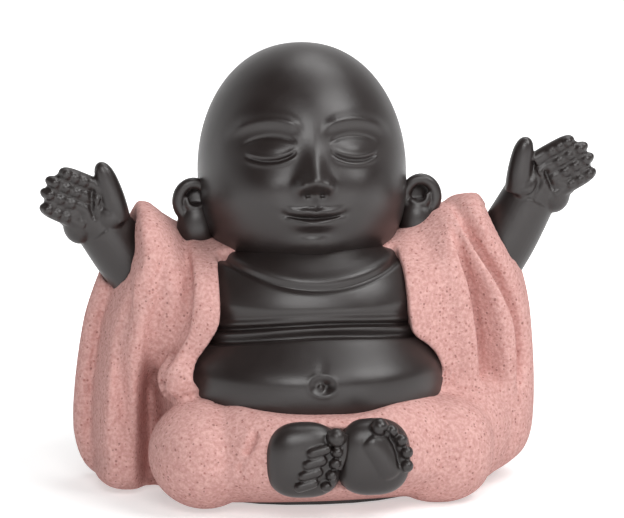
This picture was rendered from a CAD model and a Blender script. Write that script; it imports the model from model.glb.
import bpy
import numpy as np
from mathutils import Matrix, Vector


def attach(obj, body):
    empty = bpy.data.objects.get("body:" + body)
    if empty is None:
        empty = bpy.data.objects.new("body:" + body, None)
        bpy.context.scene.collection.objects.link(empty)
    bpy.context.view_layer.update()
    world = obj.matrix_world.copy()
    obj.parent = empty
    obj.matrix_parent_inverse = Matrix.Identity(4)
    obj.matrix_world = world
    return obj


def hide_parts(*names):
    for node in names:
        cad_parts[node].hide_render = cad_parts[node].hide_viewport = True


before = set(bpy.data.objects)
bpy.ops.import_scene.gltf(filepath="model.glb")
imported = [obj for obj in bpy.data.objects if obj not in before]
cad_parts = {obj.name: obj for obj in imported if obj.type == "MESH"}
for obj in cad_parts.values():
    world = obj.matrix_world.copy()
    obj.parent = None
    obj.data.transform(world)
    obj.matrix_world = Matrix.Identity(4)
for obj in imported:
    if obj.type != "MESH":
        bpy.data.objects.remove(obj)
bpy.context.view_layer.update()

# Camera: a long lens a little above the figure and to the left of its front, as the photograph
# is taken. Its three axes are worked out from the azimuth and the elevation.
VIEW_AZIMUTH = np.radians(-7)
VIEW_ELEVATION = np.radians(10)
VIEW_DISTANCE = 0.7
VIEW_TARGET = Vector((0.00201, 0.00739, 0.04296))
LENS_LENGTH = 202.7
NEAREST_SEEN = 0.05

right = Vector((np.cos(VIEW_AZIMUTH), np.sin(VIEW_AZIMUTH), 0))
backward = Vector((
    np.sin(VIEW_AZIMUTH) * np.cos(VIEW_ELEVATION),
    -np.cos(VIEW_AZIMUTH) * np.cos(VIEW_ELEVATION),
    np.sin(VIEW_ELEVATION),
))
camera = bpy.data.objects.new("camera", bpy.data.cameras.new("camera"))
camera.data.lens = LENS_LENGTH
camera.data.clip_start = NEAREST_SEEN
axes = Matrix((right, backward.cross(right), backward)).transposed().to_4x4()
camera.matrix_world = Matrix.Translation(VIEW_TARGET + backward * VIEW_DISTANCE) @ axes
bpy.context.collection.objects.link(camera)
bpy.context.scene.camera = camera
bpy.context.scene.view_settings.view_transform = "Standard"


# Floor: a plain white table. It glows for the camera and in reflections, and at half strength as
# a light, less so round the figure, where the soft shadow lies.
FLOOR_SIZE = 6.0
FLOOR_COLOUR = (0.72, 0.72, 0.72, 1)
FLOOR_ROUGHNESS = 0.9
FLOOR_LIGHT = 0.5
NEAR_GLOW, FAR_GLOW = 0.46, 0.95
GLOW_START, GLOW_END = 0.05, 0.22


def worked(tree, operation, *terms):
    """Output of a Math node whose terms are numbers or the outputs of other nodes."""
    node = tree.nodes.new("ShaderNodeMath")
    node.operation = operation
    for socket, term in zip(node.inputs, terms):
        if isinstance(term, float):
            socket.default_value = term
        else:
            tree.links.new(term, socket)
    return node.outputs[0]


def spread(tree, source, low, high, to_low, to_high):
    """Output of a Map Range node: a straight line from one range to the other, held at its ends."""
    node = tree.nodes.new("ShaderNodeMapRange")
    tree.links.new(source, node.inputs["Value"])
    for name, value in (("From Min", low), ("From Max", high), ("To Min", to_low), ("To Max", to_high)):
        node.inputs[name].default_value = value
    return node.outputs["Result"]


def shown(tree, as_light):
    """Strength of a backdrop: 1 for rays from the camera, mirrored rays and rays let through, and
    the given share for rays of light."""
    ray = tree.nodes.new("ShaderNodeLightPath").outputs
    seen = worked(tree, "MAXIMUM", ray["Is Camera Ray"], ray["Is Glossy Ray"])
    seen = worked(tree, "MAXIMUM", seen, ray["Is Transmission Ray"])
    return spread(tree, seen, 0.0, 1.0, as_light, 1.0)


floor_mesh = bpy.data.meshes.new("floor")
corner = FLOOR_SIZE / 2
floor_mesh.from_pydata(
    [(-corner, -corner, 0), (corner, -corner, 0), (corner, corner, 0), (-corner, corner, 0)],
    [],
    [(0, 1, 2, 3)],
)
floor = bpy.data.objects.new("floor", floor_mesh)
bpy.context.collection.objects.link(floor)

white = bpy.data.materials.new("white_table")
white.use_nodes = True
tree = white.node_tree
paint = tree.nodes["Principled BSDF"].inputs
paint["Base Color"].default_value = FLOOR_COLOUR
paint["Roughness"].default_value = FLOOR_ROUGHNESS
paint["Emission Color"].default_value = (1, 1, 1, 1)
away = tree.nodes.new("ShaderNodeVectorMath")
away.operation = "LENGTH"
tree.links.new(tree.nodes.new("ShaderNodeTexCoord").outputs["Object"], away.inputs[0])
glow = spread(tree, away.outputs["Value"], GLOW_START, GLOW_END, NEAR_GLOW, FAR_GLOW)
tree.links.new(worked(tree, "MULTIPLY", shown(tree, FLOOR_LIGHT), glow), paint["Emission Strength"])
floor_mesh.materials.append(white)


# Backdrop: a white world for the camera and for reflections, dimmer as a light. Above the horizon
# it darkens towards the camera's side, as a room does in front of a lit table.
WORLD_LIGHT = 0.63
TOWARDS_CAMERA = {"low": 0.9, "high": 0.2, "to_low": 0.0, "to_high": 0.92}
ABOVE_HORIZON = {"low": 0.06, "high": 0.3, "to_low": 0.0, "to_high": 1.0}

world = bpy.data.worlds.new("white_room")
bpy.context.scene.world = world
world.use_nodes = True
tree = world.node_tree
background = tree.nodes["Background"].inputs
tree.links.new(shown(tree, WORLD_LIGHT), background["Strength"])
direction = tree.nodes.new("ShaderNodeSeparateXYZ")
tree.links.new(tree.nodes.new("ShaderNodeTexCoord").outputs["Generated"], direction.inputs["Vector"])
darkness = worked(
    tree,
    "MULTIPLY",
    spread(tree, direction.outputs["Y"], **TOWARDS_CAMERA),
    spread(tree, direction.outputs["Z"], **ABOVE_HORIZON),
)
tree.links.new(worked(tree, "SUBTRACT", 1.0, darkness), background["Color"])


# Lamps: a key softbox high on the right, one overhead and behind, a narrow one on the left for
# the pale rim, a softer one high in front, and a low strip in front that lights up the belly.
LAMP_AIM = Vector((0, 0, 0.045))


def softbox(name, place, width, height, power):
    """A rectangular lamp at a place, turned to the middle of the figure."""
    lamp = bpy.data.lights.new(name, "AREA")
    lamp.shape = "RECTANGLE"
    lamp.size = width
    lamp.size_y = height
    lamp.energy = power
    holder = bpy.data.objects.new(name, lamp)
    holder.location = place
    holder.rotation_euler = (LAMP_AIM - Vector(place)).to_track_quat("-Z", "Y").to_euler()
    bpy.context.collection.objects.link(holder)


softbox("key_softbox", (0.42, -0.3, 0.62), width=0.4, height=0.4, power=3.3)
softbox("top_softbox", (0.2, 0.2, 0.8), width=0.5, height=0.4, power=2.2)
softbox("rim_softbox", (-0.72, 0.32, 0.32), width=0.14, height=0.6, power=0.28)
softbox("front_softbox", (-0.06, -0.64, 0.5), width=0.36, height=0.32, power=2.7)
softbox("low_softbox", (0.06, -0.36, 0.012), width=0.36, height=0.07, power=0.16)


# Base plate: a slab of dark clay stuck under the torso, with the vent hole for the kiln. The
# dark clay is fine iron-rich stoneware, burnished before firing to a soft satin.
DARK_TONES = ((0.012, 0.0075, 0.007), (0.018, 0.0125, 0.0115))
DARK_ROUGHNESS = (0.34, 0.41)
DARK_GLOSS = 0.62
DARK_GRAIN_DEPTH = 0.00002


def grain_group():
    """Node group: slow tone from wide noise, fine grain from narrow noise, both 0 to 1."""
    group = bpy.data.node_groups.new("fired_grain", "ShaderNodeTree")
    for name in ("Tone Scale", "Grain Scale"):
        group.interface.new_socket(name, in_out="INPUT", socket_type="NodeSocketFloat")
    for name in ("Tone", "Grain"):
        group.interface.new_socket(name, in_out="OUTPUT", socket_type="NodeSocketFloat")
    start = group.nodes.new("NodeGroupInput")
    end = group.nodes.new("NodeGroupOutput")
    place = group.nodes.new("ShaderNodeTexCoord")
    for name, scale, detail in (("Tone", "Tone Scale", 4), ("Grain", "Grain Scale", 3)):
        noise = group.nodes.new("ShaderNodeTexNoise")
        noise.inputs["Detail"].default_value = detail
        group.links.new(place.outputs["Object"], noise.inputs["Vector"])
        group.links.new(start.outputs[scale], noise.inputs["Scale"])
        group.links.new(noise.outputs["Fac"], end.inputs[name])
    return group


fired_grain = grain_group()


class Recipe:
    """A new clay with its shader and its grain, and short ways to mix and to wire."""

    def __init__(self, name, roughness, gloss, tone_scale, grain_scale):
        self.material = bpy.data.materials.new(name)
        self.material.use_nodes = True
        self.tree = self.material.node_tree
        self.shader = self.tree.nodes["Principled BSDF"].inputs
        self.shader["Roughness"].default_value = roughness
        self.shader["Specular IOR Level"].default_value = gloss
        grain = self.tree.nodes.new("ShaderNodeGroup")
        grain.node_tree = fired_grain
        grain.inputs["Tone Scale"].default_value = tone_scale
        grain.inputs["Grain Scale"].default_value = grain_scale
        self.tone = grain.outputs["Tone"]
        self.grain = grain.outputs["Grain"]

    def mix(self, share, first, second):
        """Mix of two colours, each a triple or another output, by a share from 0 to 1."""
        node = self.tree.nodes.new("ShaderNodeMix")
        node.data_type = "RGBA"
        self.tree.links.new(share, node.inputs["Factor"])
        for socket, colour in ((node.inputs[6], first), (node.inputs[7], second)):
            if isinstance(colour, tuple):
                socket.default_value = (*colour, 1)
            else:
                self.tree.links.new(colour, socket)
        return node.outputs[2]

    def bump(self, height, depth, under=None):
        """Relief of a depth in metres, over another relief where one is given."""
        node = self.tree.nodes.new("ShaderNodeBump")
        node.inputs["Distance"].default_value = depth
        self.tree.links.new(height, node.inputs["Height"])
        if under:
            self.tree.links.new(under, node.inputs["Normal"])
        return node.outputs["Normal"]

    def put(self, source, socket):
        """Wires an output to a socket of the shader."""
        self.tree.links.new(source, self.shader[socket])


def mix_dark_clay():
    """Dark clay: two close browns and a changing sheen by the slow tone, a faint grain."""
    clay = Recipe("dark_clay", roughness=0.42, gloss=DARK_GLOSS, tone_scale=180, grain_scale=5200)
    clay.put(clay.mix(clay.tone, *DARK_TONES), "Base Color")
    clay.put(spread(clay.tree, clay.tone, 0.3, 0.7, *DARK_ROUGHNESS), "Roughness")
    clay.put(clay.bump(clay.grain, DARK_GRAIN_DEPTH), "Normal")
    return clay.material


CLAYS = {"dark_clay": mix_dark_clay()}
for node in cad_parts.values():
    node.data.materials.clear()
    node.data.materials.append(CLAYS["dark_clay"])


# Torso: a slip-cast hollow body in dark clay, open below, where the base plate closes it. The
# folds of flesh, the throat roll and the navel are modelled into its front.
MM = 0.001
SQUARENESS = 2.3
TORSO_WALL = 4.0
TORSO_FOOT = 2.9
TORSO_TOP = 51.0
TORSO_HOLLOW_TOP = 37.7
TORSO_SIDES = 400
FINE_FROM = 15
RELIEF_FADE = 8
WAIST, BELLY, FOLD, CHEST, SHOULDER = 10.0, 25.0, 34.2, 39.0, 45.0
NAVEL = (-0.5, 25.1)
NAVEL_RADIUS = 1.9
THROAT = 42.4

# Creases and rolls, each with its level, width and height: under the chest, and at the throat
CHEST_LINES = (
    (33.7, 0.55, -1.15), (34.6, 0.6, 0.3), (35.5, 0.42, -0.8), (36.6, 0.9, 0.35), (37.4, 0.45, -0.16),
)
THROAT_LINES = ((-0.2, 0.6, -0.6), (1.3, 1.1, 0.35))


def through(pairs):
    """Smooth curve through (place, value) pairs, level beyond them: cubic pieces whose slope at
    each point is that of the line between its two neighbours."""
    places, values = np.array(pairs, float).T
    last = len(places) - 1
    before = np.maximum(np.arange(last + 1) - 1, 0)
    after = np.minimum(np.arange(last + 1) + 1, last)
    slopes = (values[after] - values[before]) / (places[after] - places[before])

    def curve(place):
        at = np.clip(place, places[0], places[-1])
        i = np.clip(np.searchsorted(places, at, side="right") - 1, 0, last - 1)
        span = places[i + 1] - places[i]
        t = (at - places[i]) / span
        start = (1 + 2 * t) * (1 - t) ** 2 * values[i] + t * (1 - t) ** 2 * span * slopes[i]
        return start + t * t * (3 - 2 * t) * values[i + 1] - t * t * (1 - t) * span * slopes[i + 1]

    return curve


def bend(value, power):
    """A signed power: the sign of the value times its size raised to the power."""
    return np.sign(value) * np.abs(value) ** power


def bell(distance, width):
    """1 at the middle and about a third at one width: e to the minus square."""
    return np.exp(-(distance / width) ** 2)


def bells(place, lines):
    """Sum of bells along one measure, each with its level, its width and its height."""
    return sum(height * bell(place - level, width) for level, width, height in lines)


def ramp(value, low, high):
    """0 below low, 1 above high, and the cubic 3t^2 - 2t^3 between them."""
    t = np.clip((value - low) / (high - low), 0, 1)
    return t * t * (3 - 2 * t)


def turns(sides):
    """Even angles round a full circle."""
    return np.arange(sides) * 2 * np.pi / sides


def outline(half, front, back, height, turn):
    """Soft-cornered outline: a superellipse, deeper in front than behind."""
    across = bend(np.cos(turn), 2 / SQUARENESS)
    depth = bend(np.sin(turn), 2 / SQUARENESS)
    reach = np.where(depth < 0, front, back)
    return np.stack(np.broadcast_arrays(half * across, reach * depth, height), axis=-1)


def skin(rings):
    """Closed surface through rings of points: a strip of triangles from ring to ring and a fan
    at each end, turned so that the enclosed volume is positive."""
    rows, sides = rings.shape[:2]
    points = np.vstack([rings.reshape(-1, 3), rings[[0, -1]].mean(axis=1)])
    i = (np.arange(rows - 1) * sides)[:, None]
    j = np.arange(sides)[None]
    k = (j + 1) % sides
    first = np.stack([i + j, i + k, i + k + sides], axis=-1).reshape(-1, 3)
    second = np.stack([i + j, i + k + sides, i + j + sides], axis=-1).reshape(-1, 3)
    j, k = j[0], k[0]
    top = (rows - 1) * sides
    foot_fan = np.stack([k, j, np.full(sides, rows * sides)], axis=-1)
    top_fan = np.stack([top + j, top + k, np.full(sides, rows * sides + 1)], axis=-1)
    faces = np.vstack([first, second, foot_fan, top_fan])
    a, b, c = (points[faces[:, n]] for n in range(3))
    if np.einsum("ij,ij->", a, np.cross(b, c)) < 0:
        faces = faces[:, ::-1]
    return points, faces


def shaped(name, points, faces):
    """A smooth mesh object from points in millimetres and faces of one width."""
    mesh = bpy.data.meshes.new(name)
    mesh.vertices.add(len(points))
    mesh.vertices.foreach_set("co", (np.asarray(points) * MM).ravel())
    mesh.loops.add(faces.size)
    mesh.loops.foreach_set("vertex_index", faces.ravel().astype(np.int32))
    mesh.polygons.add(len(faces))
    mesh.polygons.foreach_set("loop_start", np.arange(0, faces.size, faces.shape[1], dtype=np.int32))
    mesh.update(calc_edges=True)
    mesh.shade_smooth()
    made = bpy.data.objects.new(name, mesh)
    bpy.context.collection.objects.link(made)
    return made


def fired(made, clay, *replaced):
    """Gives a finished piece its clay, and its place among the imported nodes."""
    made.data.materials.append(CLAYS[clay])
    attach(made, "root")
    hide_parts(*replaced)


def ring_normals(rings):
    """Unit normals of a ring surface, from the cross product of its two slopes."""
    up = np.gradient(rings, axis=0)
    onward = (np.roll(rings, -1, axis=1) - np.roll(rings, 1, axis=1)) / 2
    normal = np.cross(onward, up)
    return normal / np.maximum(np.linalg.norm(normal, axis=-1, keepdims=True), 1e-9)


torso_half = through([(TORSO_FOOT, 24), (WAIST, 26.5), (BELLY, 27.5), (FOLD, 23), (CHEST, 23.8),
                      (SHOULDER, 21), (48, 15.5), (TORSO_TOP, 11.5)])
torso_front = through([(TORSO_FOOT, 22), (WAIST, 27), (BELLY, 30.5), (FOLD, 23.4), (CHEST, 23.4),
                       (SHOULDER, 20), (TORSO_TOP, 14.5)])
torso_back = through([(TORSO_FOOT, 18), (CHEST, 18), (TORSO_TOP, 11)])


def flesh(x, z):
    """Relief of the front: bells along a low arch for the creases and rolls under the chest, bells
    along a hanging one for the throat, and round the navel a pit, a rim, a knob and a furrow."""
    chest = z + 0.0045 * (x - 1.5) ** 2
    throat = z - THROAT - 0.0145 * x * x
    beside, above = x - NAVEL[0], z - NAVEL[1]
    away = np.hypot(beside / 1.15, above / 0.85)
    pit = -2.3 * bell(away, NAVEL_RADIUS * 0.72)
    rim = 0.16 * bell(away - NAVEL_RADIUS * 1.25, 0.5)
    knob = 1.9 * bell(np.hypot(beside + 0.3, above + 0.1), 0.8)
    furrow = -0.14 * bell(beside, 1.0) * bell(above - 2.6, 1.5)
    return bells(chest, CHEST_LINES) + bells(throat, THROAT_LINES) + pit + rim + knob + furrow


def torso_rings(levels, inset, sides):
    """Outlines at the given levels, set inwards, their points drawn together at the front."""
    turn = turns(sides)
    turn = turn - 0.5 * np.cos(turn)
    z = levels[:, None]
    return outline(torso_half(z) - inset, torso_front(z) - inset, torso_back(z) - inset, z, turn[None])


levels = np.concatenate([
    np.linspace(TORSO_FOOT, FINE_FROM, 12, endpoint=False),
    np.linspace(FINE_FROM, TORSO_TOP, 180),
])
outer = torso_rings(levels, 0, TORSO_SIDES)
facing = np.clip(-outer[..., 1] / RELIEF_FADE, 0, 1)
outer = outer + ring_normals(outer) * (facing * flesh(outer[..., 0], outer[..., 2]))[..., None]
inner = torso_rings(np.linspace(TORSO_FOOT, TORSO_HOLLOW_TOP, 20), TORSO_WALL, TORSO_SIDES)
torso = shaped("torso", *skin(np.concatenate([outer[::-1], inner])))
fired(torso, "dark_clay", "torso")


# Head: a hollow cast egg in dark clay, tipped back, stuck on the neck by its tenon. Its face is
# plain and calm, with closed eyes, and is burnished like the rest.
HEAD_HALF_WIDTH = 20.5
HEAD_HALF_DEPTH = 20.8
HEAD_CROWN = 25.0
HEAD_JAW = 20.0
JAW_SQUARENESS = 2.8
CROWN_POWER = 0.92
HEAD_CENTRE = np.array([-0.8, 1.0, 62.0])
HEAD_TILT = np.radians(12)
EYE_RISE = 2.2
EYE_SPACING = 16.4
NOSE_DROP = 6.6
MOUTH_DROP = 12.8
MOUTH_WIDTH = 11.4

# The line of the lashes, with the edges of the upper and the lower lid
LID_LINES = ((0, 0.36, -0.62), (0.75, 0.45, 0.22), (-0.8, 0.5, 0.15))


def eyes(side, up):
    """Closed eye on each side: a broad hollow, the ball in it, two lids, the crease over them and
    the brow, each a bell across times a bell or a bell along a gentle arc."""
    eye = side - EYE_SPACING / 2
    socket = -1.25 * bell(eye, 5.6) * bell(up - 0.6, 3.8)
    ball = 1.55 * bell(eye, 4.1) * bell(up - 0.2, 2.3)
    lids = bells(up + 1.75 - 0.062 * eye ** 2, LID_LINES) * ramp(5.0 - np.abs(eye + 0.1), 0, 1.6)
    crease = -0.36 * bell(up - 3.0 + 0.05 * eye ** 2, 0.42) * ramp(5.4 - np.abs(eye), 0, 2)
    brow_line = up - 6.3 + 0.04 * (side - 8.6) ** 2
    brow = 0.75 * bell(brow_line, 1.3) * ramp(7.6 - np.abs(side - 8.8), 0, 3.5)
    return socket + ball + lids + crease + brow


def nose(side, up):
    """Short nose: a bridge that widens and rises downwards, a round tip, two wings, two nostrils."""
    below = up + NOSE_DROP
    length = ramp(up, -8.6, -6.2) * ramp(3.8 - up, 0, 6.5)
    bridge = (0.8 + 1.2 * ramp(-up, -2, 6)) * length * bell(side, 1.95 + 0.5 * ramp(-up, 0, 6))
    tip = 1.2 * bell(side, 2.5) * bell(below - 0.3, 2.4)
    wing = 1.5 * bell(side - 2.7, 1.25) * bell(below + 0.4, 1.5)
    nostril = -0.8 * bell(side - 1.45, 0.65) * bell(below + 1.8, 0.5)
    return bridge + tip + wing + nostril


def mouth(side, up):
    """Two level lips: the upper with its bow and the lower along a shallow arc, the line between
    them with its corners, and a groove above and one below."""
    line = up + MOUTH_DROP - 0.026 * side ** 2
    bow = 0.35 * bell(side - 1.4, 1.0)
    upper = 0.95 * bell(line - 0.95 - bow * 0.5, 0.75) * bell(side, 4.6)
    lower = 1.25 * bell(line + 1.25, 1.05) * bell(side, 3.7)
    parting = -0.75 * bell(line, 0.34) * ramp(MOUTH_WIDTH / 2 - side, -0.4, 1.8)
    corner = -0.45 * bell(side - MOUTH_WIDTH / 2, 0.8) * bell(line, 0.8)
    groove = -0.3 * bell(side, 0.65) * bell(up + 10.2, 0.9)
    under = -0.5 * bell(side, 3.2) * bell(up + MOUTH_DROP + 2.9, 0.9)
    return upper + lower + parting + corner + groove + under


def face(x, up):
    """Height of the face over the bare egg: eyes, nose, mouth, a round chin and full cheeks."""
    side = np.abs(x)
    chin = 1.5 * bell(side, 4.4) * bell(up + MOUTH_DROP + 5.4, 2.4)
    cheek = 1.3 * bell(side - 10.5, 5.6) * bell(up + 7.4, 5.2)
    return eyes(side, up) + nose(side, up) + mouth(side, up) + chin + cheek


def head_rings(sides, rows):
    """Egg on its fuller end: the level is a power of the cosine of the lift above the middle and
    a superellipse below it. Rows and columns are drawn together over the face."""
    share = np.linspace(-1, 1, rows)[:, None]
    crowding = np.sin(np.pi * (share + 0.2)) + np.sin(0.8 * np.pi)
    lift = (np.pi / 2 - 0.02) * (share - 0.45 / np.pi * crowding)
    turn = turns(sides)[None]
    turn = turn - 0.6 * np.sin(turn)
    rise = np.sin(lift)
    jaw_level = (1 - np.abs(rise) ** JAW_SQUARENESS) ** (1 / JAW_SQUARENESS)
    level = np.where(lift < 0, jaw_level, np.cos(lift) ** CROWN_POWER)
    x = HEAD_HALF_WIDTH * level * np.sin(turn)
    y = -HEAD_HALF_DEPTH * level * np.cos(turn)
    z = np.where(lift < 0, HEAD_JAW, HEAD_CROWN) * rise + 0 * turn
    y = y - ramp(-y, 3, 9) * face(x, z - EYE_RISE)
    tilted_y = np.cos(HEAD_TILT) * y + np.sin(HEAD_TILT) * z
    tilted_z = -np.sin(HEAD_TILT) * y + np.cos(HEAD_TILT) * z
    return np.stack([x, tilted_y, tilted_z], axis=-1) + HEAD_CENTRE


head = shaped("head", *skin(head_rings(sides=310, rows=290)))
fired(head, "dark_clay", "head")


# Ears: a rolled rim round a hollow, over a long round lobe. Each is pinched from dark clay and
# pressed against the head.
EAR_PLACE = np.array([22.4, -0.4, 55.4])
EAR_RIM_RADIUS = 3.0
EAR_RIM_HEIGHT = 1.15
EAR_GRID, EAR_ROUNDS = 0.2, 8


def egg(centre, half, sides=64, rows=40):
    """Ellipsoid: sines and cosines of a lift and a turn, scaled by three half sizes."""
    lift = np.linspace(-1, 1, rows)[:, None] * (np.pi / 2 - 0.03)
    turn = turns(sides)[None]
    unit = (np.cos(lift) * np.cos(turn), np.cos(lift) * np.sin(turn), np.sin(lift))
    return skin(np.asarray(centre) + np.asarray(half) * np.stack(np.broadcast_arrays(*unit), axis=-1))


def bar(path, radius, flat=1.0, sides=40, rows=60):
    """Round bar along a smooth path: circles square to the path, their radius a function of the
    share of the path, pressed flat along the view."""
    knots = np.linspace(0, 1, len(path))
    share = np.linspace(0, 1, rows)
    place = np.stack([through(list(zip(knots, axis)))(share) for axis in np.array(path).T], axis=-1)
    along = np.gradient(place, axis=0)
    along = along / np.linalg.norm(along, axis=-1, keepdims=True)
    across = np.cross(np.array([0.0, 1.0, 0.0]), along)
    across = across / np.linalg.norm(across, axis=-1, keepdims=True)
    over = flat * np.cross(along, across)
    turn = turns(sides)[None, :, None]
    circle = across[:, None] * np.cos(turn) + over[:, None] * np.sin(turn)
    return skin(place[:, None] + radius(share)[:, None, None] * circle)


def joined(parts):
    """One list of points and one of faces from several skins."""
    shifts = np.cumsum([0] + [len(points) for points, _ in parts[:-1]])
    points = np.vstack([points for points, _ in parts])
    faces = np.vstack([faces + shift for (_, faces), shift in zip(parts, shifts)])
    return points, faces


def evened(made, grid):
    """Adds a skin of even squares of the given pitch, which joins parts that overlap."""
    even = made.modifiers.new("even", "REMESH")
    even.mode = "VOXEL"
    even.voxel_size = grid * MM


def gouged(made, cuts):
    """Adds a cut for each closed part."""
    for cut in cuts:
        gouge = made.modifiers.new("gouge", "BOOLEAN")
        gouge.operation = "DIFFERENCE"
        gouge.solver = "MANIFOLD"
        gouge.object = shaped("tool", *cut)


def evaluated(made):
    """Points, faces and edges of an object with its modifiers applied, in millimetres. The
    object itself and the tools that gouged it are removed."""
    scene_now = bpy.context.evaluated_depsgraph_get()
    mesh = bpy.data.meshes.new_from_object(made.evaluated_get(scene_now))
    points = np.empty(len(mesh.vertices) * 3)
    mesh.vertices.foreach_get("co", points)
    mesh.calc_loop_triangles()
    faces = np.empty(len(mesh.loop_triangles) * 3, dtype=np.int32)
    mesh.loop_triangles.foreach_get("vertices", faces)
    edges = np.empty(len(mesh.edges) * 2, dtype=np.int32)
    mesh.edges.foreach_get("vertices", edges)
    for tool in [step.object for step in made.modifiers if step.type == "BOOLEAN"]:
        bpy.data.objects.remove(tool)
    bpy.data.objects.remove(made)
    bpy.data.meshes.remove(mesh)
    return points.reshape(-1, 3) / MM, faces.reshape(-1, 3), edges.reshape(-1, 2)


def fused(parts, grid, cuts=()):
    """One skin round overlapping parts less the cuts, on a grid of the given pitch."""
    rough = shaped("rough", *joined(parts))
    evened(rough, grid)
    if cuts:
        gouged(rough, cuts)
        evened(rough, grid)
    return evaluated(rough)


def relaxed(points, edges, rounds, weight=0.5):
    """Moves each point towards the mean of its neighbours, a number of times."""
    count = np.bincount(edges.ravel(), minlength=len(points))[:, None]
    weight = np.broadcast_to(np.asarray(weight, float).reshape(-1, 1), (len(points), 1))
    for _ in range(rounds):
        total = np.stack([
            np.bincount(edges[:, 0], points[edges[:, 1], axis], len(points))
            + np.bincount(edges[:, 1], points[edges[:, 0], axis], len(points))
            for axis in range(3)
        ], axis=-1)
        points = points + weight * (total / count - points)
    return points


def ear_parts(side):
    """Rim round an oval, its ends lapping over each other, an inner roll, a plate and a lobe."""
    centre = EAR_PLACE * (side, 1, 1)
    hollow = centre + (0, 0, 1.2)
    turn = np.linspace(-0.3, 2 * np.pi + 0.3, 13)
    oval = (-side * np.cos(turn), -0.3 - 0.14 * np.sin(turn / 2), EAR_RIM_HEIGHT * np.sin(turn))
    rim = hollow + EAR_RIM_RADIUS * np.stack(oval, axis=-1)
    roll = [(-2.2, -1.7, -0.6), (-0.6, -2.2, -1.4), (1.0, -2.1, -0.9), (1.5, -1.6, 0.8)]
    return [
        bar(rim, lambda t: 1.0 + 0.25 * np.sin(np.pi * t)),
        bar(hollow + np.array(roll) * (side, 1, 1), lambda t: 0.6 + 0.15 * np.sin(np.pi * t), sides=24),
        egg(centre + (-1.5 * side, 1.1, -1.0), (4.4, 2.4, 5.4)),
        egg(centre + (-0.5 * side, -0.9, -3.9), (3.8, 3.0, 4.8)),
    ]


for side, name in ((-1, "ear_left"), (1, "ear_right")):
    points, faces, edges = fused(ear_parts(side), EAR_GRID)
    fired(shaped(name, relaxed(points, edges, EAR_ROUNDS), faces), "dark_clay", name)


# Robe: a mantle, a lap and two sleeves of coarse pink sand clay, smoothed over at their joints
# with slip, so that one skin shows. Its folds are pressed in with a blunt tool before firing.
SAND_TONES = ((0.54, 0.285, 0.258), (0.69, 0.415, 0.385))
SPECK_TONES = ((0.16, 0.055, 0.045), (0.36, 0.12, 0.10))
SPECK_SCALE = 1500
SPECK_STRENGTH = 0.62
SAND_RELIEF, SAND_GRAIN_DEPTH = 0.00016, 0.00008

ROBE_GRID, ROBE_ROUNDS, KNEE_ROUNDS = 0.48, 3, 40
LEFT_REACH, RIGHT_REACH = 46.2, 45.4
LEFT_HEIGHT, RIGHT_HEIGHT = 56.4, 57.0
LEFT_SHOULDER, RIGHT_SHOULDER = 32.6, 33.8
MOUTH_SETBACK = 3.6
MOUTH_REACH = 20
LAYER_PLACE, LAYER_DEPTH = 3.2, 8.4
EAR_ROOM = 4.0
HEM_LIFT = 0.9
HEM_ROUNDING = 5
SHOULDER_ROUNDING, BACK_ROUNDING = 15, 13
LEFT_LIP, RIGHT_LIP, BACK_LIP = 2.6, 5.5, 9


def mix_sand_clay():
    """Sand clay: two pinks by the tone, and round brown specks of grog, one in half of the cells of
    a Voronoi pattern, whose size and tint are the cell's own; the tone and the grain are relief."""
    clay = Recipe("sand_clay", roughness=0.88, gloss=0.1, tone_scale=1500, grain_scale=4600)
    tree = clay.tree
    body = clay.mix(spread(tree, clay.tone, 0.34, 0.66, 0.0, 1.0), *SAND_TONES)
    cells = tree.nodes.new("ShaderNodeTexVoronoi")
    cells.inputs["Scale"].default_value = SPECK_SCALE
    tree.links.new(tree.nodes.new("ShaderNodeTexCoord").outputs["Object"], cells.inputs["Vector"])
    own = tree.nodes.new("ShaderNodeSeparateColor")
    tree.links.new(cells.outputs["Color"], own.inputs["Color"])
    size = spread(tree, own.outputs["Red"], 0.5, 1.0, 0.0, 0.44)
    inside = worked(tree, "SUBTRACT", size, cells.outputs["Distance"])
    speck = spread(tree, inside, -0.05, 0.14, 0.0, SPECK_STRENGTH)
    clay.put(clay.mix(speck, body, clay.mix(own.outputs["Green"], *SPECK_TONES)), "Base Color")
    clay.put(clay.bump(clay.grain, SAND_GRAIN_DEPTH, clay.bump(clay.tone, SAND_RELIEF)), "Normal")
    return clay.material


CLAYS["sand_clay"] = mix_sand_clay()


def sleeve_edge(reach, lean, cuff, shoulder, height, hem):
    """Reach of a sleeve's outline at a height: rounded at the hem, widest above it, leaning in to
    the cuff and rounding over to the shoulder."""
    return through([
        (0, reach - 9 * hem), (1.8 * hem, reach - 4.05 * hem), (6, reach - 1.08 * hem), (13.8, reach),
        (0.57 * height, reach - lean), (0.75 * height, cuff + 3.4), (0.87 * height, cuff),
        (height, shoulder),
    ])


left_edge = sleeve_edge(LEFT_REACH, lean=2.2, cuff=37.3, shoulder=33.0, height=LEFT_HEIGHT, hem=1.0)
right_edge = sleeve_edge(RIGHT_REACH, lean=0.5, cuff=39.3, shoulder=34.2, height=RIGHT_HEIGHT, hem=1.5)

left_crown = through([(21, 49.6), (24, 51.0), (28, 53.6), (30.5, 55.6), (32.6, 56.2)])
right_crown = through([(16.5, 49.6), (20, 51.6), (24, 54.2), (28, 54.9), (30, 56.3), (33, 57.0)])


def crown(x):
    """Height of the robe's upper edge: level at the collar, a rise to each shoulder's own height
    and a round fall past it."""
    left = x < 0
    fall = np.clip(np.abs(x) - np.where(left, LEFT_SHOULDER, RIGHT_SHOULDER), 0, 4)
    return np.where(left, left_crown(-x), right_crown(x)) - 0.21 * fall ** 2


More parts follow.
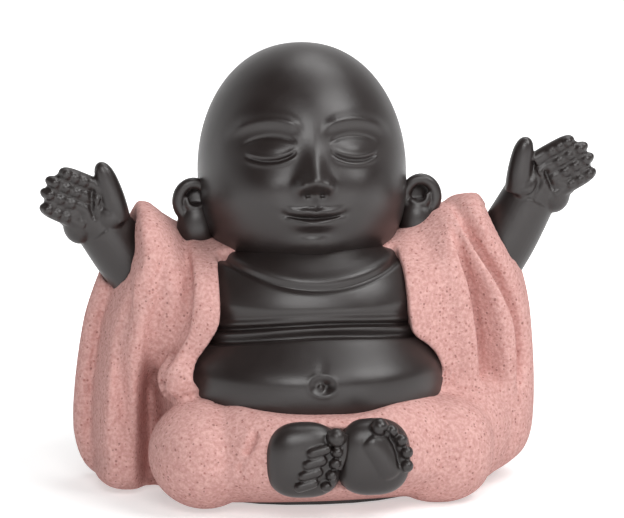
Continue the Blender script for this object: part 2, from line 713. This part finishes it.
def rounded(inside, radius):
    """Quarter circle: 0 at the rim, 1 from one radius inwards."""
    return np.sqrt(1 - (1 - np.clip(inside / radius, 0, 1)) ** 2)


def rim_distance(x, z, setback):
    """Distance inwards from the outline. On the left, the outline is set back for the mouth of the
    sleeve, in full between the hem and the shoulder."""
    mouth = setback * ramp(z, 0, 8) * ramp(z, 54, 46)
    return np.where(x < 0, left_edge(z) - mouth, right_edge(z)) - np.abs(x)


# Lines of the folds, each a distance from the middle at a height
outer_fold = through([(14, 39.6), (23, 40.5), (33, 39.7), (40, 36.8), (47.5, 32.1), (55.5, 27.9)])
inner_fold = through([(20, 32.8), (29, 32.3), (40.5, 30.4), (50.5, 27.2)])
outer_valley = through([(12, 36), (28, 37.8), (36, 36.2), (44, 33.5)])
inner_valley = through([(14, 32.8), (32, 31.4), (40, 29.5)])
thin_valley = through([(39.9, 33.1), (43.2, 30.5), (50, 28.5)])
left_lapel = through([(21, 30), (24, 30.3), (28, 28.8), (36.5, 25.1), (49.5, 23.4)])
KNEE_VALLEY = 30.7


def step_back(away, depth, reach):
    """A fold lying over the next: level before the line, a sharp step inwards across it that
    recovers over a reach, and a low swell before it."""
    recovered = np.exp(-(np.maximum(away, 0) / reach) ** 2)
    return depth * ramp(away, -0.3, 0.4) * recovered - 0.32 * depth * bell(away + 2.2, 2.2)


def fold_relief(x, z):
    """Depth of the folds, positive inwards. On the right each fold's outer edge steps back to
    the next one; on the left, valleys run down the sleeve and beside the knee, and a step bounds
    the lapel. Each fades in and out by ramps of the height."""
    across = np.abs(x)
    outer = step_back(across - outer_fold(z), 4.4, 3.2) * ramp(z, 61, 56)
    inner = step_back(across - inner_fold(z), 4.0, 2.8) * ramp(z, 54, 47)
    valleys = 2.2 * bell(across - outer_valley(z), 1.5) * ramp(z, 8, 16) * ramp(z, 44, 34)
    valleys = valleys + 2.6 * bell(across - inner_valley(z), 1.7) * ramp(z, 50, 34)
    valleys = valleys + 12 * bell(across - KNEE_VALLEY, 2.4) * ramp(z, 28, 16)
    valleys = valleys + 1.1 * bell(across - thin_valley(z), 0.7) * ramp(z, 37, 42) * ramp(z, 52, 48)
    lapel = step_back(across - left_lapel(z), 3.8, 3.0) * ramp(z, 16, 21)
    return np.where(x > 0, (outer + inner) * ramp(z, 16, 25), valleys + lapel)


front_depth = through([(0, 19.5), (16, 20), (30, 14.6), (45.9, 10)])
back_depth = through([(0, 23), (16, 22), (36, 14), (45.9, 11.5)])


def upper_robe(setback, under=False, columns=340, rows=170):
    """Rings in upright slices: up the front sheet and down the back one. The rim's height above
    and below comes from the outline, and both sheets round off towards it. The under sheet is the
    back layer of the left sleeve, behind its mouth."""
    share = np.linspace(-1, 1, columns)
    x = np.where(share < 0, LEFT_REACH - 0.1 - setback, RIGHT_REACH - 0.1) * np.sin(share * np.pi / 2)
    if under:
        x = x[x < -MOUTH_REACH]
    heights = np.linspace(0, RIGHT_HEIGHT, 1400)
    within = rim_distance(x[:, None], heights[None], setback) >= 0
    low = np.maximum(heights[np.argmax(within, axis=1)], HEM_LIFT * ramp(-x, 24, 32))
    high = np.minimum(heights[-1 - np.argmax(within[:, ::-1], axis=1)], crown(x))
    low, high = low[:, None], high[:, None]
    z = low + (high - low) * (0.5 - 0.5 * np.cos(np.linspace(0, np.pi, rows)))
    x = x[:, None] + 0 * z
    across = np.abs(x)
    inside = rim_distance(x, z, setback)
    foot = rounded(z - low + 0.3, HEM_ROUNDING)
    tuck = HEM_ROUNDING * (1 - foot)
    if under:
        front_y = LAYER_PLACE - 3.0 * rounded(inside, LEFT_LIP) + 5 * ramp(inside, 2.2, 4.5)
        back_y = LAYER_PLACE + LAYER_DEPTH * rounded(inside, 6) * rounded(high - z, 8) * foot
    else:
        lip = rounded(inside, np.where(x < 0, LEFT_LIP, RIGHT_LIP))
        depth = front_depth(across) * rounded(high - z, SHOULDER_ROUNDING) ** 0.9 - tuck
        front_y = (fold_relief(x, z) * foot - depth) * lip
        front_y = front_y + EAR_ROOM * bell(across - EAR_PLACE[0], 4.0) * ramp(z, 43, 50)
        back_y = (back_depth(across) * rounded(high - z, BACK_ROUNDING) - tuck) * rounded(inside, BACK_LIP)
    back_y = np.maximum(back_y, front_y + 0.2)
    front_sheet = np.stack([x, front_y, z], axis=-1)
    back_sheet = np.stack([x, back_y, z], axis=-1)[:, ::-1]
    return skin(np.concatenate([front_sheet, back_sheet], axis=1))


lap_front = through([(-31, 26.5), (-22.2, 33.5), (0, 38), (23.4, 31), (31, 24)])


def lap_rings(columns=200, sides=140):
    """Upright slices from knee to knee, each a soft rectangle, smaller towards the ends. The top
    sags between the thighs, and the front's lower edge is lifted off the table."""
    share = np.linspace(-0.995, 0.995, columns)[:, None]
    half = np.where(share < 0, 27, 31)
    x = half * np.sin(share * np.pi / 2)
    end = np.sqrt(1 - np.abs(x / (half + 0.2)) ** 5)
    turn = turns(sides)[None]
    front = lap_front(x) * (0.86 + 0.14 * end)
    back = 6 + 8 * (1 - end)
    depth = (front - back) / 2 * (0.25 + 0.75 * end)
    thigh = 22 - 1.6 * bell(x, 10) - 0.15 * np.maximum(np.abs(x) - 24, 0) ** 2
    top = thigh * (0.3 + 0.7 * end)
    front_top = ramp(np.sin(turn), 0, 0.3) * ramp(-np.cos(turn), 0, 0.3)
    power = 0.9 + 0.2 * ramp(-np.sin(turn), 0, 0.5) - 0.4 * bell(x, 14) * front_top
    y = -(front + back) / 2 + depth * bend(np.cos(turn), power)
    lifted = 1.25 * ramp(-np.sin(turn), 0.2, 0.9) * ramp(-np.cos(turn), -0.3, 0.3)
    z = top / 2 * (1 + bend(np.sin(turn), power)) + lifted
    return np.stack(np.broadcast_arrays(x, y, z), axis=-1)


def block_egg(centre, half, power, sides=120, rows=70):
    """Soft block: an ellipsoid whose sines and cosines are raised to a power under 1."""
    lift = np.linspace(-1, 1, rows)[:, None] * (np.pi / 2 - 0.02)
    turn = turns(sides)[None]
    level = bend(np.cos(lift), power)
    unit = (level * bend(np.cos(turn), power), level * bend(np.sin(turn), power), bend(np.sin(lift), power))
    return skin(np.asarray(centre) + np.asarray(half) * np.stack(np.broadcast_arrays(*unit), axis=-1))


def prism(loop, near, far):
    """Straight block: a closed outline seen from the front, carried from near to far."""
    x, z = np.array(loop, float).T
    return skin(np.array([np.stack([x, np.full_like(x, y), z], axis=-1) for y in (near, far)]))


def smooth_loop(corners, count=160):
    """Closed smooth curve through corners, by the same cubic pieces, at even shares."""
    corners = np.array(corners + corners[:1], float)
    knots = np.concatenate([[0], np.cumsum(np.linalg.norm(np.diff(corners, axis=0), axis=1))])
    at = np.linspace(0, knots[-1], count, endpoint=False)
    padded_knots = np.concatenate([knots[-3:-1] - knots[-1], knots, knots[1:3] + knots[-1]])
    padded = np.vstack([corners[-3:-1], corners, corners[1:3]])
    return np.stack([through(list(zip(padded_knots, axis)))(at) for axis in padded.T], axis=-1)


# The opening: down the left lapel, round the belly, up the right lapel and over the throat
OPENING = [
    (-18.5, 50), (-18.7, 46), (-18.8, 42), (-18.8, 38), (-19.1, 35.2), (-20.4, 32.4), (-22.2, 29.6),
    (-23.9, 26.8), (-24.3, 24.6), (-23.0, 22.8), (-18.6, 21.7), (-14.2, 20.6), (-7, 19.8), (0, 19.6),
    (7, 19.7), (13.8, 20.9), (20, 21.6), (23.2, 22.4), (24.5, 23.9), (24.3, 26), (22.8, 28.8),
    (20.6, 30.8), (18.7, 32.3), (17.9, 35), (17.4, 39), (17.2, 43), (16.6, 47), (16, 50), (12, 58),
    (-12, 58),
]
OPENING_FRONT, OPENING_BACK = -60, -9
POCKET_CENTRE = (1.8, -42.6, 12.1)
POCKET_HALF = (14.6, 8.6, 7.5)

# The arms, for which the robe leaves room: lengths in millimetres, aims in degrees above level
ARMS = {
    "arm_left": {"side": -1, "elbow": np.array([-29.5, 1, 39.5]), "wrist": np.array([-40.3, -1, 51.9]),
                 "thumb_length": 12.0, "thumb_aim": 73, "finger_aim": 25},
    "arm_right": {"side": 1, "elbow": np.array([34.2, 1, 39.5]), "wrist": np.array([44.4, -1, 56.2]),
                  "thumb_length": 10.8, "thumb_aim": 82, "finger_aim": 31},
}


def arm_room(elbow, wrist):
    """A flattened bar along an arm, from inside the sleeve to well past the wrist."""
    path = [elbow * 0.6 + wrist * 0.4, wrist, wrist * 2 - elbow]
    return bar(path, lambda t: 6.9 - 0.5 * t, flat=0.9)


parts = [
    upper_robe(MOUTH_SETBACK),
    upper_robe(0, under=True),
    skin(lap_rings()),
    egg((-22.2, -21.0, 10.6), (10.9, 12.6, 10.6)),
    block_egg((23.4, -18.5, 9.9), (10.8, 11.5, 10.4), 0.85),
    egg((-26.0, -15.5, 24.2), (4.8, 5.4, 5.0)),
    egg((30.4, -10.5, 12.0), (8.6, 9, 11.6)),
]
cuts = [prism(smooth_loop(OPENING), OPENING_FRONT, OPENING_BACK), block_egg(POCKET_CENTRE, POCKET_HALF, 0.6)]
cuts = cuts + [arm_room(arm["elbow"], arm["wrist"]) for arm in ARMS.values()]
points, faces, edges = fused(parts, ROBE_GRID, cuts)

# The right knee is smoothed further, into the sleeve, and nothing goes below the table
right_knee = ramp(points[:, 0], 24, 30) * ramp(points[:, 2], 24, 16) * ramp(points[:, 1], -4, -8)
points = relaxed(points, edges, ROBE_ROUNDS)
points = relaxed(points, edges, KNEE_ROUNDS, 0.5 * right_knee)
points[:, 2] = np.maximum(points[:, 2], 0)


def point_normals(points, faces):
    """Unit normals at the points, from the areas of the faces round them."""
    a, b, c = (points[faces[:, n]] for n in range(3))
    area = np.cross(b - a, c - a)
    total = np.stack([
        sum(np.bincount(faces[:, n], area[:, axis], len(points)) for n in range(3))
        for axis in range(3)
    ], axis=-1)
    return total / np.maximum(np.linalg.norm(total, axis=-1, keepdims=True), 1e-12)


def pressed(points, faces, line, depth, width, swell=0.0):
    """Presses a line into the front: each point sinks along its normal by a bell of its
    distance from the line as seen from the front, with a low swell on both sides."""
    line = np.array(line, float)
    knots = np.concatenate([[0], np.cumsum(np.linalg.norm(np.diff(line, axis=0), axis=1))])
    at = np.linspace(0, knots[-1], int(knots[-1] / 0.15) + 2)
    track = np.stack([through(list(zip(knots, axis)))(at) for axis in line.T], axis=-1)
    fade = ramp(np.minimum(at, at[-1] - at), -0.2, knots[-1] * 0.25)
    normal = point_normals(points, faces)
    seen = points[:, [0, 2]]
    beside = np.all((seen > track.min(0) - 6 * width) & (seen < track.max(0) + 6 * width), axis=1)
    near = beside & (normal[:, 1] < -0.1) & (points[:, 1] < -3)
    gap = np.linalg.norm(seen[near][:, None] - track[None], axis=-1)
    nearest = gap.argmin(axis=1)
    gap = gap.min(axis=1)
    sink = (depth * bell(gap, width) - swell * bell(gap - 2.4 * width, 1.5 * width)) * fade[nearest]
    points = points.copy()
    points[near] -= normal[near] * sink[:, None]
    return points


# Tool marks, each with its points seen from the front, its depth, its width and its swell: the
# left lapel and its lower end, three creases by the left foot and one over them, the lower end
# of the right lapel, and the outer and the inner fold on the right
PRESSED_LINES = [
    ([(-24.1, 48), (-24.5, 43.5), (-25, 37.7), (-25.7, 33.8), (-27.7, 29.9), (-29.7, 27), (-30.5, 24.1)],
     1.3, 0.55, 0.1),
    ([(-30.3, 25.0), (-30.2, 22.0), (-27.6, 20.0)], 1.6, 0.65, 0.1),
    ([(-13.7, 17.8), (-14.8, 15), (-16.2, 12.9)], 1.3, 0.55, 0.15),
    ([(-16.2, 12.9), (-19.6, 11.4), (-25.3, 10.4)], 0.35, 0.7, 0.1),
    ([(-16.2, 12.9), (-17.1, 8.6)], 0.35, 0.6, 0.05),
    ([(-21.3, 22.0), (-20.3, 20.9)], 0.4, 0.6, 0.0),
    ([(26.2, 25.2), (25.6, 24.0), (24.2, 22.4), (22.6, 21.2)], 0.8, 0.45, 0.1),
    ([(27.8, 56.4), (30, 52), (32.6, 47.5), (37.2, 40), (40.1, 33), (40.9, 23), (40.4, 17)],
     2.1, 0.55, 0.15),
    ([(27.6, 50.5), (29.2, 45.5), (30.8, 40.5), (32.6, 30), (33.2, 20)], 1.9, 0.55, 0.15),
]
for line, depth, width, swell in PRESSED_LINES:
    points = pressed(points, faces, line, depth, width, swell)

# Room inside for the torso, which the robe sinks into a little, and for the base plate
TORSO_OVERLAP = 1.5
PLATE_ROOM = (24.3, 22.3, 18.3)
core = torso_rings(np.linspace(TORSO_FOOT - 1, TORSO_TOP - 3, 24), TORSO_OVERLAP, 72)
plate_room = np.array([outline(*PLATE_ROOM, level, turns(60)) for level in (-1.0, 4.0)])
robe = shaped("robe", points, faces)
gouged(robe, [skin(core), skin(plate_room)])
points, faces, edges = evaluated(robe)
fired(shaped("robe", points, faces), "sand_clay", "mantle", "lap", "sleeve_left", "sleeve_right")


# Feet: two bare soles in dark clay, set into the pocket of the lap before firing. The left
# one's toes curl in two short rows; the right one's stand down its outer edge.
FOOT_GRID, FOOT_ROUNDS = 0.2, 3
LEFT_FOOT = np.array([-4.8, -35.0, 12.1])
RIGHT_FOOT = np.array([8.3, -35.0, 12.3])
LEFT_TOE_DROP = 2.15
RIGHT_TOE_ANGLES = (82, 59, 36, 13, -10)
BIG_TOE, SMALL_TOE = 1.7, 1.25


def sausage(start, end, radius):
    """Short bar with round ends between two points."""
    reach = (end - start) / np.linalg.norm(end - start) * radius
    return bar([start - reach, start * 0.5 + end * 0.5, end + reach],
               lambda t: radius * np.sqrt(np.clip(1 - (2 * t - 1) ** 6, 0.004, 1)), sides=24, rows=40)


def left_foot_parts():
    """A soft block, the big toe with a thin fold beside it, the outer edge, and four toes, each a
    short roll with a round end beside it."""
    parts = [
        block_egg(LEFT_FOOT, (7.3, 4.6, 7.2), 0.76),
        egg(LEFT_FOOT + (5.7, -4.1, 5.0), (1.8, 1.9, 1.8)),
        bar(LEFT_FOOT + np.array([(4.2, -3.9, 6.4), (4.6, -4.3, 5.6), (4.7, -4.3, 4.5)]),
            lambda t: 0.5 + 0 * t),
        bar(LEFT_FOOT + np.array([(7.2, -3.3, 5.4), (7.1, -3.6, 1.8), (6.2, -3.8, -1.2)]),
            lambda t: 0.85 - 0.2 * t),
    ]
    for i in range(4):
        root = LEFT_FOOT + (1.0 - 0.8 * i, -4.6, 2.1 - LEFT_TOE_DROP * i)
        parts.append(sausage(root, root + (2.7, -0.1, 0.8), 0.95))
        parts.append(egg(LEFT_FOOT + (5.8 - 0.35 * i ** 1.6, -4.3, 2.2 - 2.2 * i), (1.1, 1.2, 1.0)))
    return parts


def right_foot_parts():
    """A soft block, a broad ridge down it, and five toes along a quarter of an oval."""
    parts = [
        block_egg(RIGHT_FOOT, (7.2, 4.6, 7.3), 0.78),
        bar(RIGHT_FOOT + np.array([(-1.8, -1.3, 4.8), (1.1, -1.5, 0.6), (3.5, -1.2, -4.0)]),
            lambda t: 3.6 * np.sqrt(1.02 - (2 * t - 1) ** 6)),
    ]
    for i, angle in enumerate(np.radians(RIGHT_TOE_ANGLES)):
        size = SMALL_TOE if i else BIG_TOE
        toe = RIGHT_FOOT + (6.2 * np.cos(angle), -3.5, 6.6 * np.sin(angle))
        parts.append(egg(toe, (size, size * 1.15, size)))
    return parts


points, faces, edges = fused(left_foot_parts(), FOOT_GRID)
fired(shaped("foot_left", relaxed(points, edges, FOOT_ROUNDS), faces), "dark_clay", "foot_left")

TOE_GROOVE = [(9.5, 18.8), (11.2, 16.7), (12.6, 13.7), (13.0, 10.7)]
points, faces, edges = fused(right_foot_parts(), FOOT_GRID)
points = relaxed(points, edges, FOOT_ROUNDS)
points = pressed(points, faces, TOE_GROOVE, depth=0.8, width=0.4)
fired(shaped("foot_right", points, faces), "dark_clay", "foot_right")


# Arms: a plump forearm and a raised open hand in dark clay, pushed into the sleeve's mouth. The
# fingers are rolled, pressed side by side and marked with a tool between their pads.
HAND_GRID, HAND_ROUNDS = 0.2, 5
FINGER_SPACING = 2.5
FINGER_RADIUS = 1.55
WEB_RADIUS = 1.5
THUMB_RADIUS = 2.1
FINGER_SHARES = np.array([-0.35, 0, 0.5, 1])[:, None]
THUMB_SHARES = np.array([0, 0.35, 0.7, 1])[:, None]
PAD_SHARES = (0.2, 0.48, 0.76)
WEB_SHARES = (0.2, 0.5, 0.76)
TO_VIEWER = np.array([0, -1, 0])

# Each finger's place from the middle of the hand, in spacings, and its length
FINGERS = ((-1.5, 6.7), (-0.5, 8.4), (0.5, 8.3), (1.62, 7.1))

# Creases of the palm and round the ball of the thumb
HAND_LINES = {
    "arm_left": [([(-42.3, 60.4), (-42.5, 56.5), (-41.8, 53.4)], 0.6, 0.55, 0.1)],
    "arm_right": [([(46.5, 62.6), (47.2, 60.2), (48.3, 57.8)], 0.7, 0.5, 0.1),
                  ([(45.2, 61.4), (45.3, 59.4), (43.8, 57.2), (41.6, 56.8)], 0.3, 0.5, 0.1)],
}


def aimed(side, degrees):
    """Unit vector in the plane of the hand, at an angle above the outward side."""
    angle = np.radians(degrees)
    return np.array([side * np.cos(angle), 0, np.sin(angle)])


def blunt(share):
    """1 along a finger and rounding off to 0.1 at its tip: the root of 1 minus the eighth power."""
    return np.sqrt(np.clip(1 - share ** 8, 0.01, 1))


def palm_parts(side, wrist, knuckles):
    """Three overlapping eggs from the wrist to the knuckles, the pads of the palm beside the thumb
    and in its middle, and two eggs for the heel of the hand."""
    hand = knuckles - wrist
    return [
        egg(wrist, (5.2, 4.6, 5.2)),
        egg(wrist + 0.25 * hand + 0.2 * TO_VIEWER, (5.2, 3.9, 5.6)),
        egg(wrist + 0.5 * hand + 0.4 * TO_VIEWER, (5.1, 3.2, 5.8)),
        egg(wrist + (-1.5 * side, -3.5, 2.3), (2.7, 1.7, 2.8)),
        egg(wrist + (3.1 * side, -3.3, 3.0), (2.0, 1.3, 3.0)),
        egg(wrist + (6.0 * side, -2.0, 3.2), (3.1, 2.8, 3.2)),
        egg(wrist + (4.3 * side, -1.5, 0.6), (3.4, 3.0, 3.8)),
    ]


def finger_parts(knuckles, along, across):
    """Four fingers side by side, each a blunt bar that leans to the viewer, with three pads, and
    webs that join them below their tips."""
    parts = []
    for place, length in FINGERS:
        root = knuckles + across * FINGER_SPACING * place + 1.2 * TO_VIEWER
        path = root + along * length * FINGER_SHARES + TO_VIEWER * 1.2 * np.maximum(FINGER_SHARES, 0)
        parts.append(bar(path, lambda t: FINGER_RADIUS * blunt(t), sides=28))
        for share in PAD_SHARES:
            pad = root + along * length * share + TO_VIEWER * (0.85 + 1.2 * share)
            parts.append(egg(pad, (1.12, 1.0, 1.08), sides=32, rows=20))
    for share in WEB_SHARES:
        lean = (0.9 + 1.2 * share) * TO_VIEWER
        web = [knuckles + across * FINGER_SPACING * place + lean + along * share * (7.9 - 0.8 * place ** 2)
               for place in (-1.4, 0, 1.4)]
        parts.append(bar(web, lambda t: WEB_RADIUS + 0 * t, sides=28))
    return parts


def thumb(side, wrist, length, aim):
    """A blunt bar that narrows to its tip and bows away from the fingers."""
    path = wrist + (-2.8 * side, -2.2, 1.6) + aimed(side, aim) * length * THUMB_SHARES
    path = path + TO_VIEWER * 1.4 * np.sqrt(THUMB_SHARES)
    path = path - side * 0.5 * np.sin(np.pi * THUMB_SHARES) * (1, 0, 0)
    return bar(path, lambda t: THUMB_RADIUS * (1.28 - 0.4 * t) * blunt(t), sides=36)


def arm_parts(side, elbow, wrist, thumb_length, thumb_aim, finger_aim):
    """Forearm, palm, fingers and thumb of one arm."""
    knuckles = wrist + (4.05 * side, -2, 5.5)
    middle = (elbow + wrist) / 2 + (0.4 * side, 0, -0.4)
    forearm = bar([elbow, middle, wrist], lambda t: 6.7 - 1.3 * t, flat=0.9)
    fingers = finger_parts(knuckles, aimed(side, finger_aim), aimed(side, finger_aim - 89))
    palm = palm_parts(side, wrist, knuckles)
    return [forearm, *palm, *fingers, thumb(side, wrist, thumb_length, thumb_aim)]


for name, arm in ARMS.items():
    points, faces, edges = fused(arm_parts(**arm), HAND_GRID)
    points = relaxed(points, edges, HAND_ROUNDS)
    for line, depth, width, swell in HAND_LINES[name]:
        points = pressed(points, faces, line, depth, width, swell)
    fired(shaped(name, points, faces), "dark_clay", name)
